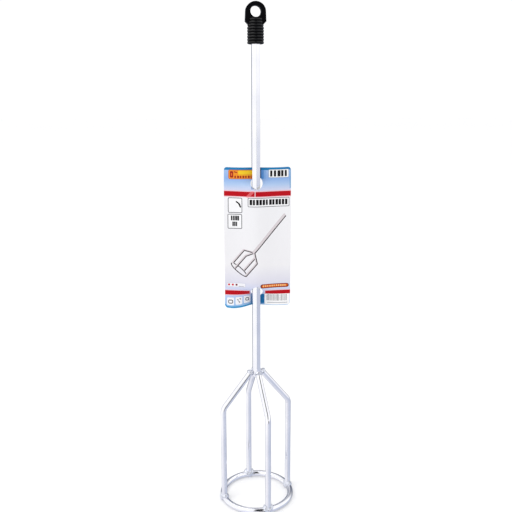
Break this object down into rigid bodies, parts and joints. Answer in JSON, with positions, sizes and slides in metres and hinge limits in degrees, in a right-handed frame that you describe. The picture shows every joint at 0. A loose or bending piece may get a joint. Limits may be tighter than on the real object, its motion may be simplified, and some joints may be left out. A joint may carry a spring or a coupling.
{
  "type": "mortar mixing paddle",
  "caption": "Drill-driven mortar mixing paddle: hexagonal shaft with a welded round-wire basket and foot ring, a push-on plastic hanger cap and a printed card threaded on the shaft.",
  "frame": {"origin": "under the middle of the foot ring, where its underside rests", "axes": "+Z along the shaft towards the hanger cap, -Y out of the printed face of the card, +X to the card's right as it is read"},
  "size_m": [0.08, 0.0803, 0.5171],
  "materials": {
    "zinc_steel": "polished",
    "weld_metal": "satin",
    "black_plastic": "satin",
    "printed_card": "gloss"
  },
  "bodies": {
    "paddle": {"shaft": "zinc_steel", "ring": "zinc_steel", "leg_right": "zinc_steel", "leg_back": "zinc_steel", "leg_left": "zinc_steel", "leg_front": "zinc_steel", "foot_weld_right": "weld_metal", "foot_weld_back": "weld_metal", "foot_weld_left": "weld_metal", "foot_weld_front": "weld_metal", "crown_weld_right": "weld_metal", "crown_weld_back": "weld_metal", "crown_weld_left": "weld_metal", "crown_weld_front": "weld_metal"},
    "hanger": {"hanger_cap": "black_plastic"},
    "card": {"display_card": "printed_card"}
  },
  "joints": [
    {"name": "hanger_pull", "type": "slide", "parent": "paddle", "child": "hanger", "axis": [0, 0, 1], "range_m": [0, 0.026]},
    {"name": "card_slide", "type": "slide", "parent": "paddle", "child": "card", "axis": [0, 0, 1], "range_m": [-0.066, 0.115]}
  ]
}
